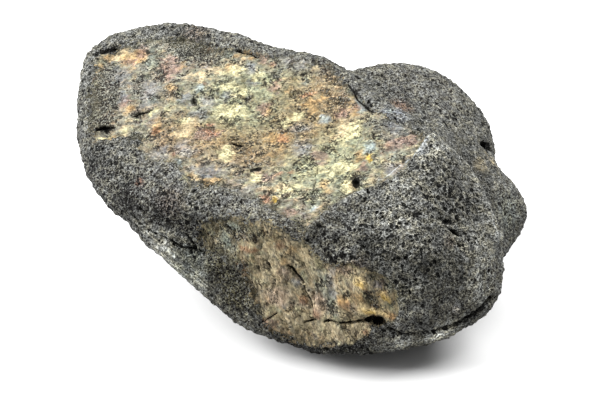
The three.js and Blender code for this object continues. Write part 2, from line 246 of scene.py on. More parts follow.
# The top break's coats of colour, laid in this order: colour, strength, edge, and spots with their
# x, y, half sizes and turn in degrees, seen from above.
TOP_BASE = (0.088, 0.083, 0.063)
TOP_COATS = [
    ("straw", 0.55, SOFT, [(-9.9, 5.0, 13.0, 9.0, 0), (5.0, -8.0, 9.0, 9.0, 0)]),
    ("sand", 0.6, SOFT, [
        (4.0, 4.0, 9.0, 8.0, 0), (-8.0, -4.0, 11.0, 5.0, 0), (-22.0, 0.0, 8.0, 4.0, 0),
    ]),
    ("ash", 0.75, SOFT, [
        (-40.0, 12.6, 3.6, 7.5, 0), (-22.5, 20.5, 5.0, 3.2, 0), (-31.5, 23.0, 6.0, 1.6, 0),
        (0.5, 14.0, 8.0, 1.8, -20), (-12.5, -17.0, 9.0, 2.2, -18), (-33.7, 0.9, 4.0, 2.0, 0),
        (-31.0, 12.0, 3.5, 4.0, 0), (16.0, -4.0, 3.0, 2.0, -30),
    ]),
    ("pale", 0.7, SOFT, [
        (-30.4, 10.3, 1.6, 2.9, 0), (-18.2, 7.4, 1.8, 1.2, 0), (-22.7, -3.4, 1.7, 1.8, 0),
        (-10.8, -14.5, 1.8, 1.5, 0), (18.0, -14.1, 1.8, 1.2, 26), (-0.6, 14.9, 2.9, 1.7, -15),
        (-27.9, -3.5, 2.0, 1.5, 0),
    ]),
    ("cream", 0.75, CRISP, [
        (-36.6, 21.8, 1.8, 1.8, 0), (-4.8, 14.3, 0.3, 0.3, 0), (-12.9, 14.3, 0.9, 1.9, 0),
        (-16.8, 14.4, 1.0, 1.0, 0), (-20.8, 13.4, 2.5, 0.7, -6), (-25.9, 8.6, 1.0, 1.0, 0),
        (-22.0, 2.7, 1.6, 1.2, 0), (-23.2, 0.4, 1.5, 1.0, 0), (-34.9, 2.8, 0.9, 1.2, 0),
        (-14.5, -4.4, 2.2, 1.9, 0), (-20.2, -10.7, 1.0, 0.7, 0), (3.5, 12.3, 0.7, 1.0, 0),
        (-3.8, -14.7, 2.0, 0.7, 0), (13.8, -15.6, 0.8, 0.6, 0), (9.5, -16.3, 1.0, 2.1, 0),
        (9.5, -2.7, 2.4, 2.2, -15),
    ]),
    ("ochre", 0.65, CRISP, [
        (-34.0, 20.6, 3.6, 1.7, 0), (-32.4, 19.7, 1.0, 1.0, -14), (-39.5, 22.1, 1.2, 1.2, 28),
        (-41.5, 19.8, 0.8, 1.6, 44),
        (-23.9, 16.9, 0.4, 1.4, -15), (-26.2, 11.2, 1.2, 1.0, 0), (-11.0, 17.9, 2.3, 0.9, 0),
        (-14.4, 15.1, 0.8, 1.4, -14), (-2.3, 7.8, 0.6, 0.6, 0), (2.5, 4.1, 1.6, 1.0, -13),
        (2.3, 2.4, 0.8, 0.9, -13), (4.6, 4.7, 0.8, 0.7, 0), (10.9, 0.2, 0.8, 1.0, -13),
        (-28.2, 2.9, 1.0, 1.6, 0), (-21.2, -10.2, 0.6, 0.9, 0), (-17.3, -11.1, 2.7, 0.8, 0),
        (-4.6, -2.4, 2.3, 1.2, -16), (-3.7, -5.2, 0.7, 0.6, -12), (-5.9, -6.5, 0.9, 0.6, 0),
        (4.5, -14.9, 0.9, 0.9, 0), (5.3, -16.5, 0.8, 0.7, 0), (11.3, -9.6, 0.9, 1.2, 0),
        (-38.2, 2.1, 1.9, 1.0, -17), (-34.3, 7.3, 1.1, 1.0, 0), (-6.5, 3.8, 1.2, 0.8, 0),
    ]),
    ("salmon", 0.65, CRISP, [
        (-32.4, 21.6, 1.2, 1.5, 0), (-34.7, 19.9, 1.3, 0.9, -13), (-42.4, 17.0, 0.8, 0.6, 51),
        (-26.5, 17.0, 2.3, 3.2, 0), (-26.5, 13.8, 0.8, 1.0, 0), (-4.7, 8.9, 1.4, 1.2, 0),
        (-7.3, 4.9, 1.7, 1.1, -17), (8.2, 1.0, 1.8, 1.0, -18), (-6.1, -11.9, 1.4, 1.1, -19),
        (-1.6, -20.0, 1.6, 0.9, 0), (19.4, -7.9, 4.0, 1.1, 16), (11.9, -12.4, 0.9, 1.1, -15),
        (4.0, -8.8, 1.9, 1.4, 0), (-7.5, 16.6, 1.5, 0.9, 0), (-18.3, 0.5, 2.5, 1.4, -8),
        (-35.1, 9.6, 1.1, 1.2, -12),
    ]),
    ("rust", 0.6, CRISP, [
        (-18.6, 20.5, 0.7, 0.7, 0), (-5.6, 14.7, 0.8, 0.6, -13), (-19.2, 11.5, 0.7, 0.6, -13),
        (-17.6, 0.9, 1.8, 0.9, -8), (1.7, 6.4, 1.6, 0.7, 0), (11.5, 1.8, 1.6, 0.5, 0),
        (-3.4, -3.1, 1.2, 1.0, -12), (-6.6, -16.7, 1.1, 0.9, 0), (-4.3, -11.9, 0.7, 0.5, -13),
        (-1.8, -11.5, 0.7, 0.4, 0), (-24.6, -4.4, 0.4, 0.5, 0), (-28.8, 1.8, 0.8, 0.7, 0),
    ]),
    ("sulphur", 0.85, CRISP, [
        (-29.4, 6.2, 1.0, 0.5, 0), (-26.6, 6.0, 0.8, 0.7, 0), (-8.8, 12.3, 1.3, 1.0, 0),
        (-14.4, 10.2, 2.2, 0.9, 0), (-11.3, 9.3, 1.0, 0.7, 0), (-14.0, 4.5, 3.6, 1.5, 0),
        (-12.8, 5.2, 2.0, 1.2, 0), (-12.5, 8.2, 1.6, 1.0, 0), (-13.5, 13.6, 2.6, 0.8, 0),
        (-2.7, 0.8, 1.0, 1.3, -16), (-0.5, 1.8, 1.2, 0.9, 0), (-8.7, -11.5, 1.1, 0.9, -12),
        (0.5, -12.6, 0.5, 1.1, 0), (8.3, -5.8, 1.2, 1.4, -18), (8.1, -11.6, 2.3, 1.8, 0),
        (5.8, -13.1, 0.9, 0.5, 0), (-22.6, 3.5, 1.2, 0.8, 0), (-14.6, -4.8, 1.9, 1.3, 0),
        (10.4, -4.4, 1.6, 1.1, -13), (-1.4, -15.4, 2.6, 0.9, 20), (3.6, -11.5, 1.6, 0.8, 20),
        (10.8, -3.0, 1.5, 1.5, 0), (9.0, -15.8, 0.9, 1.6, 0),
        (-39.2, 2.5, 1.7, 0.6, -12), (-34.8, 2.8, 0.8, 0.9, 0),
    ]),
    ("gold", 0.75, CRISP, [(-4.7, -16.9, 0.5, 0.5, 0), (13.2, -10.4, 0.8, 0.9, 0)]),
    ("slate", 0.7, SOFT, [
        (-22.6, 8.1, 1.3, 1.4, 27), (-9.9, 14.3, 1.0, 1.6, 0), (-9.7, 10.7, 1.0, 0.6, 0),
        (-14.4, 8.2, 1.2, 0.9, 0), (-19.9, 4.7, 1.8, 1.3, 0), (-18.0, -8.8, 3.3, 1.2, 0),
        (0.7, -5.8, 2.0, 1.9, -15), (19.2, -3.5, 2.6, 2.1, -17), (-37.5, 15.3, 2.6, 2.3, -12),
        (0.1, -1.1, 1.8, 0.9, -13), (-35.8, 10.6, 1.1, 1.1, -12),
    ]),
    ("frost", 0.5, CRISP, [
        (-42.8, 20.9, 0.9, 0.5, -20), (-20.1, 10.3, 0.8, 0.9, 0), (-23.5, -6.9, 0.5, 1.0, 0),
        (2.8, -19.6, 0.8, 0.9, 0), (13.6, -8.2, 1.2, 1.2, 0), (5.0, 0.0, 0.9, 1.0, 0),
        (-38.6, 25.8, 0.4, 0.6, -42), (12.0, 2.5, 0.8, 2.2, 35),
    ]),
    ("sage", 0.7, SOFT, [
        (-30.5, 19.2, 0.9, 2.8, -14), (-14.2, 18.2, 1.5, 1.1, 0), (9.6, 6.3, 0.8, 1.7, -22),
        (1.3, 9.8, 0.6, 1.0, 0), (18.7, -10.5, 1.7, 1.4, 15), (-29.7, 8.8, 0.8, 1.2, 0),
    ]),
    ("umber", 0.7, SOFT, [
        (-18.8, 21.0, 1.6, 2.0, 0), (-28.4, 14.1, 1.2, 1.0, 0), (-26.1, 8.9, 1.5, 1.2, 0),
        (-39.2, 6.8, 1.2, 1.2, 0),
        (-27.6, 18.2, 0.4, 0.9, 0), (-27.0, 15.7, 0.4, 0.8, 0), (-40.7, 10.1, 0.8, 1.0, -17),
        (-23.5, 5.0, 0.7, 0.6, 0), (8.7, 4.9, 0.9, 0.9, -14), (5.2, 12.2, 1.0, 1.3, 0),
        (-3.5, -1.0, 1.2, 0.8, -15), (-10.1, 7.0, 0.8, 0.7, 0),
    ]),
    ("soot", 0.7, CRISP, [
        (-40.5, 18.5, 1.3, 0.9, -16), (-38.6, 13.5, 3.0, 2.0, -13), (-40.9, 10.5, 1.8, 1.9, -17),
        (-41.8, 13.7, 1.6, 2.8, -21), (-38.8, 9.0, 2.6, 1.7, 0), (-39.3, 16.5, 2.3, 1.7, 0),
        (-18.3, 18.2, 2.5, 2.0, 0), (-21.0, 9.4, 0.5, 0.7, 0),
        (-21.1, 7.6, 0.4, 1.0, 0), (-11.8, 7.5, 0.7, 1.5, 30), (-4.6, 12.0, 1.0, 1.0, -17),
        (-5.9, 10.5, 0.4, 0.4, 0), (0.3, -0.9, 1.4, 0.7, -13), (-5.9, 3.0, 0.3, 0.3, 0),
        (-38.7, 5.6, 2.6, 1.3, -10), (-25.1, -6.7, 0.8, 0.7, 0), (-8.6, -8.5, 1.9, 0.8, 0),
        (-3.4, -5.0, 0.3, 0.2, 0), (11.0, -14.3, 0.8, 0.8, 0), (13.3, -13.3, 0.4, 0.4, 0),
        (-22.7, 24.4, 2.6, 1.4, 0), (-20.9, 21.8, 2.2, 1.6, 0), (-25.0, 22.6, 1.6, 1.2, 0),
        (-19.6, 19.6, 2.0, 1.6, 0), (-22.4, 18.6, 1.5, 1.2, 0),
    ]),
]

# The front break's coats, with spots given by x and z, seen from the front.
FRONT_BASE = (0.19, 0.16, 0.1)
FRONT_COATS = [
    ("moss", 0.75, SOFT, [
        (-14.5, 22.0, 4.0, 6.0, 20), (-11.5, 13.0, 2.5, 5.0, 20), (-10.0, 27.5, 6.0, 1.8, 0),
    ]),
    ("umber", 0.6, SOFT, [
        (-11.7, 25.7, 1.6, 1.0, 21), (-8.5, 26.2, 0.5, 0.6, 12), (-10.5, 19.7, 1.0, 1.7, 16),
        (0.1, 6.2, 4.6, 1.3, 0), (-9.6, 15.4, 1.7, 1.5, 23),
    ]),
    ("tan", 0.6, SOFT, [
        (-6.0, 20.1, 2.1, 3.0, 3), (9.7, 9.9, 3.8, 1.7, 0), (1.3, 23.8, 1.3, 3.0, 1),
        (0.1, 10.6, 3.1, 2.0, 0),
    ]),
    ("sage", 0.7, SOFT, [
        (-12.9, 27.2, 1.2, 0.9, -4), (17.3, 20.7, 0.9, 1.8, 0), (18.2, 12.6, 1.0, 1.4, 37),
        (4.9, 17.4, 1.6, 4.5, 16), (-14.2, 23.9, 1.3, 1.6, 19),
    ]),
    ("rust", 0.6, CRISP, [
        (-11.5, 18.9, 1.0, 1.7, 10), (-3.9, 25.8, 0.8, 1.1, -61), (0.7, 14.7, 1.0, 0.8, 0),
        (8.5, 16.1, 1.2, 1.1, 13), (17.6, 14.4, 0.7, 0.9, 0), (12.8, 10.2, 0.6, 0.7, 0),
        (-9.8, 23.8, 1.8, 0.6, 0), (3.2, 12.3, 0.6, 1.2, 18), (-7.3, 8.7, 1.2, 0.7, 13),
    ]),
    ("mauve", 0.6, SOFT, [
        (-4.3, 14.7, 2.6, 2.0, 0), (-3.1, 20.1, 1.2, 1.1, 0), (3.5, 14.5, 1.5, 2.5, 10),
    ]),
    ("ochre", 0.6, CRISP, [
        (-1.7, 25.0, 1.0, 1.0, 0), (16.2, 18.7, 1.3, 0.7, -37), (15.1, 14.7, 1.9, 1.0, 0),
        (-3.1, 22.8, 0.6, 1.4, -15), (7.9, 16.5, 1.0, 1.1, 18), (8.3, 17.1, 1.3, 1.0, 0),
        (11.2, 17.8, 1.2, 1.1, 0), (17.4, 14.4, 0.9, 0.8, 0),
    ]),
    ("salmon", 0.5, CRISP, [
        (8.2, 23.4, 1.7, 1.0, 0), (15.2, 21.2, 0.9, 0.7, 0), (-5.7, 8.8, 1.8, 1.2, 0),
    ]),
    ("slate", 0.8, SOFT, [
        (-15.0, 19.8, 1.2, 1.3, 0), (-0.7, 18.2, 1.0, 0.8, -20), (15.0, 20.7, 1.2, 1.1, 0),
    ]),
    ("soot", 0.7, CRISP, [
        (-13.7, 26.4, 0.8, 0.3, -16), (-13.2, 18.5, 1.2, 2.0, 10), (15.5, 12.8, 1.5, 0.6, 0),
    ]),
    ("moss", 0.75, SOFT, [
        (13.8, 17.6, 1.5, 1.1, 0), (14.2, 22.4, 2.4, 0.7, -15), (17.6, 17.0, 0.8, 1.4, 0),
    ]),
    ("umber", 0.8, CRISP, [
        (9.4, 18.3, 1.0, 0.35, 10), (14.6, 16.4, 1.4, 0.4, 0), (15.2, 18.7, 0.9, 0.4, -40),
        (11.9, 20.4, 1.0, 0.25, -15), (12.6, 19.4, 0.9, 0.5, 0),
    ]),
    ("pale", 0.6, CRISP, [
        (5.9, 19.0, 0.7, 3.2, 10), (-3.1, 12.8, 0.5, 0.5, 0), (6.2, 23.0, 0.8, 1.4, 0),
    ]),
    ("honey", 0.8, CRISP, [
        (12.1, 15.8, 1.1, 1.2, 0), (14.6, 15.2, 2.6, 0.75, -4), (11.7, 21.3, 1.4, 0.9, -10),
        (15.8, 19.1, 1.7, 0.4, -42),
    ]),
    ("gold", 0.6, CRISP, [
        (16.2, 18.3, 1.2, 0.35, -42), (13.4, 14.9, 1.2, 0.5, 0), (11.3, 20.9, 0.9, 0.4, -10),
    ]),
    ("sulphur", 0.6, CRISP, [(-0.4, 12.8, 0.7, 0.6, 0), (3.5, 23.4, 0.7, 1.6, 0)]),
]

# How light or dark the crust is in places, partly its own tone and partly painted light and shade:
# lit bands and lips, dark hollows and undersides. The middle, how far, and the share of its usual tone.
CRUST_BASE = (0.038, 0.038, 0.034)
CRUST_TONE_AND_SHADE = [
    ((-40.9, -2.0, 30.0), 5.0, 0.29),
    ((-36.0, -2.0, 32.5), 4.0, 0.82),
    ((-34.0, -9.3, 28.5), 4.0, 0.16),
    ((-27.0, -14.0, 28.0), 4.0, 0.38),
    ((-21.5, -16.0, 26.0), 4.0, 1.38),
    ((-17.5, -18.0, 23.3), 4.5, 0.60),
    ((-15.0, -20.5, 18.0), 4.0, 0.39),
    ((-12.0, -22.5, 12.0), 3.5, 0.26),
    ((-26.3, -15.0, 23.3), 2.0, 1.45),
    ((-30.0, -13.8, 23.8), 1.8, 1.45),
    ((-29.2, -14.4, 21.5), 2.6, 1.60),
    ((-26.0, -16.0, 18.5), 3.6, 3.92),
    ((-20.0, -19.5, 14.8), 3.0, 3.24),
    ((9.0, -26.8, 26.0), 4.0, 1.91),
    ((14.5, -26.0, 27.3), 3.5, 0.30),
    ((19.0, -28.4, 23.3), 5.0, 1.26),
    ((26.0, -28.6, 19.5), 5.0, 0.74),
    ((21.0, -30.2, 17.5), 4.0, 1.94),
    ((17.1, -21.0, 32.2), 4.5, 2.20),
    ((21.0, -16.5, 35.8), 3.5, 1.84),
    ((25.5, -11.0, 38.8), 3.5, 1.82),
    ((34.5, -22.0, 24.0), 4.0, 2.48),
    ((35.0, -24.8, 17.0), 3.5, 2.72),
    ((35.6, -6.3, 30.6), 2.6, 0.85),
    ((36.6, -11.0, 29.0), 2.2, 0.30),
    ((40.5, -7.0, 25.0), 4.0, 1.41),
    ((-22.0, 25.5, 44.8), 3.4, 0.5),
    ((0.0, -27.0, 4.0), 6.0, 0.12),
    ((9.5, -30.0, 6.3), 5.0, 0.22),
    ((20.0, -30.9, 8.0), 2.6, 4.73),
    ((27.5, -29.2, 8.6), 2.8, 8.54),
    ((-7.5, -25.2, 6.5), 4.0, 1.14),
    ((18.5, 9.0, 40.6), 5.0, 0.48),
    ((-39.4, 24.9, 42.0), 3.0, 0.62),
]

# The same along routes, as painted highlights along the rim, the boss's edge and a ridge, and painted
# shade in the valleys and creases: the share of the usual tone, half width and route.
CRUST_LIGHT_AND_SHADE_BANDS = [
    (1.5, 1.5, BOSS_EDGE),
    (0.62, 2.0, [(33.9, -3.5, 32.4), (36.0, -7.0, 30.0), (37.6, -11.0, 28.0), (39.0, -13.5, 25.5)]),
    (1.3, 0.8, BREAK_RIM),
    (0.45, 1.5, [
        (-34.0, -10.0, 26.5), (-29.5, -13.2, 26.0), (-24.0, -15.3, 25.3), (-19.0, -17.5, 24.0),
    ]),
    (1.2, 0.9, [(-27.5, -14.6, 23.3), (-24.5, -15.8, 22.4), (-21.5, -16.8, 22.0)]),
    (0.6, 1.2, [(-45.5, 8.0, 32.0), (-45.5, 0.0, 29.5), (-42.0, -4.5, 26.5)]),
]

# Stains on the crust: colour, strength, the middle and how far.
CRUST_STAINS = [
    ("rust", 0.45, (-31.2, -8.9, 30.8), 0.9),
    ("umber", 0.4, (-21.5, 25.0, 44.8), 3.2),
    ("ash", 0.6, (31.0, -20.5, 28.3), 1.9),
    ("umber", 0.4, (28.6, -23.5, 27.0), 1.4),
    ("pale", 0.7, (30.0, -28.0, 14.3), 1.0),
    ("tan", 0.45, (38.3, 1.0, 29.3), 2.2),
    ("umber", 0.5, (20.5, 3.6, 40.4), 2.6),
    ("rust", 0.15, (20.0, 3.0, 40.5), 2.4),
    ("salmon", 0.12, (-24.5, -13.5, 29.5), 3.0),
    ("sage", 0.35, (-22.0, -18.0, 17.0), 5.0),
    ("sage", 0.25, (41.0, -8.0, 23.0), 4.0),
    ("umber", 0.5, (11.0, -27.0, 24.5), 2.2),
    ("ochre", 0.12, (9.5, -27.3, 23.5), 2.0),
    ("slate", 0.7, (18.5, -1.0, 40.5), 3.0),
    ("frost", 0.7, (17.6, -0.4, 40.9), 1.1),
    ("moss", 0.5, (19.5, -29.5, 19.0), 2.5),
    ("moss", 0.6, (-12.0, -22.5, 12.5), 4.5),
    ("moss", 0.6, (-14.5, -20.0, 18.0), 4.5),
    ("tan", 0.4, (36.0, -3.0, 31.0), 1.6),
]

# ---------------------------------------------------------------- noise


class Noise:
    """Repeatable noise, from one shuffled table."""

    SIZE = 256

    def __init__(self, seed):
        draw = np.random.RandomState(seed)
        self.order = np.tile(draw.permutation(self.SIZE), 2)
        ways = draw.normal(size=(self.SIZE, 3))
        self.ways = ways / np.linalg.norm(ways, axis=1)[:, None]
        self.spots = draw.random_sample((self.SIZE, 3))
        self.shades = draw.random_sample(self.SIZE)

    def entry(self, cells):
        x, y, z = (cells % self.SIZE).T
        return self.order[self.order[self.order[x] + y] + z]

    def waves(self, places):
        """Smooth noise from about -1 to 1, with waves about two units long."""
        base = np.floor(places).astype(int)
        part = places - base
        ease = part**3 * (part * (part * 6 - 15) + 10)
        total = np.zeros(len(places))
        for corner in np.ndindex(2, 2, 2):
            way = self.ways[self.entry(base + corner)]
            share = np.prod(np.where(corner, ease, 1 - ease), axis=1)
            total += share * np.einsum("ij,ij->i", way, part - corner)
        return 1.6 * total

    def octaves(self, places, count):
        """Waves on waves, each set half as long and half as high as the one before."""
        return sum(0.5**k * self.waves(places * 2**k + 17.3 * k) for k in range(count))

    def drift(self, places, count=1):
        """Smooth noise along each of the three axes."""
        return np.stack([self.octaves(places + shift, count) for shift in (0, 31, 67)], axis=1)

    def cells(self, places):
        """The distance to the nearest scattered spot, and that spot's own shade from 0 to 1."""
        base = np.floor(places).astype(int)
        part = places - base
        nearest = np.full(len(places), 9.0)
        shade = np.zeros(len(places))
        for block in np.ndindex(3, 3, 3):
            beside = np.array(block) - 1
            entry = self.entry(base + beside)
            away = np.linalg.norm(beside + self.spots[entry] - part, axis=1)
            closer = away < nearest
            shade = np.where(closer, self.shades[entry], shade)
            nearest = np.where(closer, away, nearest)
        return nearest, shade


def step(values, low, high):
    """0 up to low and 1 from high on, with a smooth rise between. With low above high it falls."""
    share = np.clip((values - low) / (high - low), 0, 1)
    return share * share * (3 - 2 * share)


# ---------------------------------------------------------------- mesh work


def with_modifier(mesh, kind, **settings):
    """A new mesh: this one after one modifier. The old one is removed."""
    holder = bpy.data.objects.new("holder", mesh)
    bpy.context.scene.collection.objects.link(holder)
    modifier = holder.modifiers.new(kind, kind)
    for name, value in settings.items():
        setattr(modifier, name, value)
    graph = bpy.context.evaluated_depsgraph_get()
    result = bpy.data.meshes.new_from_object(holder.evaluated_get(graph))
    bpy.data.objects.remove(holder)
    bpy.data.meshes.remove(mesh)
    return result


def vectors(items, name):
    """One vector for each item, in rows."""
    values = np.empty(len(items) * 3)
    items.foreach_get(name, values)
    return values.reshape(-1, 3)


def place_vertices(mesh, places):
    mesh.vertices.foreach_set("co", places.ravel())
    mesh.update()


def smoothed(places, edges, passes):
    """Each vertex moved towards the middle of its neighbours and part of the way back, several times."""
    count = len(places)
    first, other = edges.T
    degree = np.bincount(first, minlength=count) + np.bincount(other, minlength=count)
    for _ in range(passes):
        for share in (0.6, -0.35):
            sums = [
                np.bincount(first, axis[other], count) + np.bincount(other, axis[first], count)
                for axis in places.T
            ]
            places = places + share * (np.stack(sums, axis=1) / degree[:, None] - places)
    return places


def depth_inside(points, outline):
    """How far 2-D points lie inside a closed outline, and under 0 outside it."""
    corners = np.array(outline)
    nearest = np.full(len(points), np.inf)
    inside = np.zeros(len(points), bool)
    for start, end in zip(np.roll(corners, 1, axis=0), corners):
        side = end - start
        share = np.clip((points - start) @ side / (side @ side), 0, 1)
        nearest = np.minimum(nearest, np.linalg.norm(points - start - share[:, None] * side, axis=1))
        spans = (start[1] > points[:, 1]) != (end[1] > points[:, 1])
        rise = side[1] if side[1] else 1e-9
        inside ^= spans & (points[:, 0] < start[0] + (points[:, 1] - start[1]) * side[0] / rise)
    return np.where(inside, nearest, -nearest)


def distance_to_route(places, route):
    """How far each place is from a route's nearest point."""
    nearest = np.full(len(places), np.inf)
    for start, end in zip(route, route[1:]):
        start, side = np.array(start), np.subtract(end, start)
        share = np.clip((places - start) @ side / (side @ side), 0, 1)
        nearest = np.minimum(nearest, np.linalg.norm(places - start - share[:, None] * side, axis=1))
    return nearest


def line_field(places, normals, lines):
    """For each place, the nearest line's side, half width and depth.

    The side is the distance to the line along the skin, positive on one side of it. A line is a
    half width, a depth and a route, and it narrows to nothing over a millimetre at each end.
    """
    reach = 2.5
    away = np.full(len(places), reach)
    side, half, depth = away.copy(), np.zeros(len(places)), np.zeros(len(places))
    for width, deep, route in lines:
        corners = np.array(route)
        lengths = np.linalg.norm(np.diff(corners, axis=0), axis=1)
        passed = np.concatenate([[0], np.cumsum(lengths)])
        for start, end, length, before in zip(corners, corners[1:], lengths, passed):
            run = (end - start) / length
            along = np.clip((places - start) @ run, 0, length)
            gap = places - start - along[:, None] * run
            off = np.einsum("ij,ij->i", gap, normals)
            flat = gap - off[:, None] * normals
            far = np.linalg.norm(flat, axis=1)
            closer = (far < away) & (np.abs(off) < reach)
            turn = np.sign(np.einsum("ij,ij->i", flat, np.cross(run, normals)))
            from_end = np.minimum(before + along, passed[-1] - before - along)
            away = np.where(closer, far, away)
            side = np.where(closer, far * turn, side)
            half = np.where(closer, width * np.clip(from_end, 0, 1), half)
            depth = np.where(closer, deep, depth)
    return side, half, depth


def top_depth(places):
    """How far inside the top break each place is."""
    rise, along_x, along_y = TOP_FLOOR
    low = places[:, 2] < rise + along_x * places[:, 0] + along_y * places[:, 1]
    return np.where(low, FAR_OUTSIDE, depth_inside(places[:, :2], TOP_BREAK))


def front_depth(places):
    """How far inside the front break each place is."""
    behind = places[:, 1] > FRONT_LIMIT
    return np.where(behind, FAR_OUTSIDE, depth_inside(places[:, [0, 2]], FRONT_BREAK))


# ---------------------------------------------------------------- the stone's skin


def even_skin():
    """The CAD stone as an even, fine mesh, with no cracks, no pits and its crust whole."""
    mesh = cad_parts["stone"].data.copy()
    place_vertices(mesh, vectors(mesh.vertices, "co") / METRES)
    mesh = with_modifier(mesh, "REMESH", mode="VOXEL", voxel_size=COARSE_VOXEL)
    place_vertices(mesh, vectors(mesh.vertices, "co") + CLOSING * vectors(mesh.vertices, "normal"))
    mesh = with_modifier(mesh, "REMESH", mode="VOXEL", voxel_size=FINE_VOXEL)
    place_vertices(mesh, vectors(mesh.vertices, "co") - CLOSING * vectors(mesh.vertices, "normal"))
    places = vectors(mesh.vertices, "co")
    broken = np.maximum(step(top_depth(places), -0.2, 0.2), step(front_depth(places), -0.2, 0.2))
    places = places + (CRUST_STEP * broken)[:, None] * vectors(mesh.vertices, "normal")
    edges = np.empty(len(mesh.edges) * 2, int)
    mesh.edges.foreach_get("vertices", edges)
    place_vertices(mesh, smoothed(places, edges.reshape(-1, 2), SMOOTHING_PASSES))
    return mesh


def streaked(places, along, stretch):
    """Places squeezed along one direction, so that noise laid over them streaks that way."""
    along = np.array(along) / np.linalg.norm(along)
    return places - ((1 - stretch) * (places @ along))[:, None] * along


def mottled(base, flow, noise):
    """A base colour with small patches all over."""
    colour = np.tile(base, (len(flow), 1))
    for index, (name, strength, size, rare) in enumerate(MOTTLES):
        cover = strength * step(noise.octaves(flow / size + 11 * index, 3), rare, rare + 0.12)
        colour += cover[:, None] * (COLOURS[name] - colour)
    return colour


def painted(points, colour, coats, drift):
    """The colours at 2-D points: coats of soft, ragged spots over the colour that is there."""
    for name, strength, edge, spots in coats:
        for x, y, half_x, half_y, turn in spots:
            turn = math.radians(turn)
            across = points + drift * min(1.2, 0.7 * math.sqrt(half_x * half_y)) - (x, y)
            u = (across[:, 0] * math.cos(turn) + across[:, 1] * math.sin(turn)) / half_x
            v = (across[:, 1] * math.cos(turn) - across[:, 0] * math.sin(turn)) / half_y
            cover = strength * (1 - step(np.hypot(u, v), *edge))
            colour += cover[:, None] * (COLOURS[name] - colour)
    return colour


def crust_colours(places):
    """The crust's colour at each place, with its painted light and shade, before its grain."""
    tone = np.ones(len(places))
    # Tones and bands: partly the crust's own tone, partly painted light and shade.
    for centre, reach, share in CRUST_TONE_AND_SHADE:
        away = np.linalg.norm(places - centre, axis=1) / reach
        tone *= 1 + (share - 1) * np.exp(-(away**2))
    for share, half, route in CRUST_LIGHT_AND_SHADE_BANDS:
        tone *= 1 + (share - 1) * np.exp(-((distance_to_route(places, route) / half) ** 4))
    colour = tone[:, None] * np.array(CRUST_BASE)
    for name, strength, centre, reach in CRUST_STAINS:
        away = np.linalg.norm(places - centre, axis=1) / reach
        colour += (strength * (1 - step(away, 0.3, 1.4)))[:, None] * (COLOURS[name] - colour)
    return colour


def pit_depth(places, noise, spacing, smallest, largest, share):
    """How far inside scattered, ragged pits each place is."""
    away, shade = noise.cells(places / spacing + 0.25 * noise.drift(places / (0.7 * spacing)))
    size = smallest + (largest - smallest) * shade**2
    return np.where(shade < 1 - share, -1.0, size - spacing * away)


def crust_relief(places, pits, waves, bubbles):
    """The crust's height: low swellings, ridges, a close froth and its pits."""
    height = 0.22 * waves.waves(places / 4.0) + 0.18 * waves.waves(places / 1.7)
    froth, _ = bubbles.cells(places + 0.15 * bubbles.drift(places / 1.1))
    height += 0.5 * (froth - 0.5) + 0.14 * bubbles.waves(places / 0.75)
    for rise, half, route in RIDGES:
        height += rise * np.exp(-((distance_to_route(places, route) / half) ** 2))
    return height - 1.1 * np.clip(pits, 0, 0.45)


def stone_relief(places, flow, waves, chips):
    """The broken stone's height: streaks, chips and slits, half a step below the crust."""
    height = 0.32 * waves.waves(flow / 3.0) + 0.25 * waves.waves(flow / 1.2)
    height += 0.12 * chips.waves(flow / 0.6)
    slits = 1 - step(np.abs(chips.octaves(flow / 1.7, 2)), 0.0, 0.2)
    return height - 0.5 * CRUST_STEP - 0.4 * slits * step(waves.waves(places / 3.1 + 5), -0.1, 0.4)


def pitted_share(places):
    """How thick and pitted the crust is at each place, from 1 down to -1 where it is smooth."""
    pitted = np.zeros(len(places))
    for centre, reach, amount in PITTED:
        near = amount * np.exp(-((np.linalg.norm(places - centre, axis=1) / reach) ** 4))
        pitted = np.where(np.abs(near) > np.abs(pitted), near, pitted)
    return pitted


def store(mesh, numbers, colours):
    """Keep named numbers and colours on the mesh's vertices, for its material."""
    for name, values in numbers.items():
        mesh.attributes.new(name, "FLOAT", "POINT").data.foreach_set("value", values)
    for name, colour in colours.items():
        rgba = np.concatenate([colour, np.ones((len(colour), 1))], axis=1)
        mesh.attributes.new(name, "FLOAT_COLOR", "POINT").data.foreach_set("color", rgba.ravel())


def light_enough(mesh):
    """The mesh in triangles, and no more of them than a piece may have."""
    triangles = sum(len(face.vertices) - 2 for face in mesh.polygons)
    mesh = with_modifier(mesh, "TRIANGULATE")
    return with_modifier(mesh, "DECIMATE", ratio=min(1, MOST_TRIANGLES / triangles))


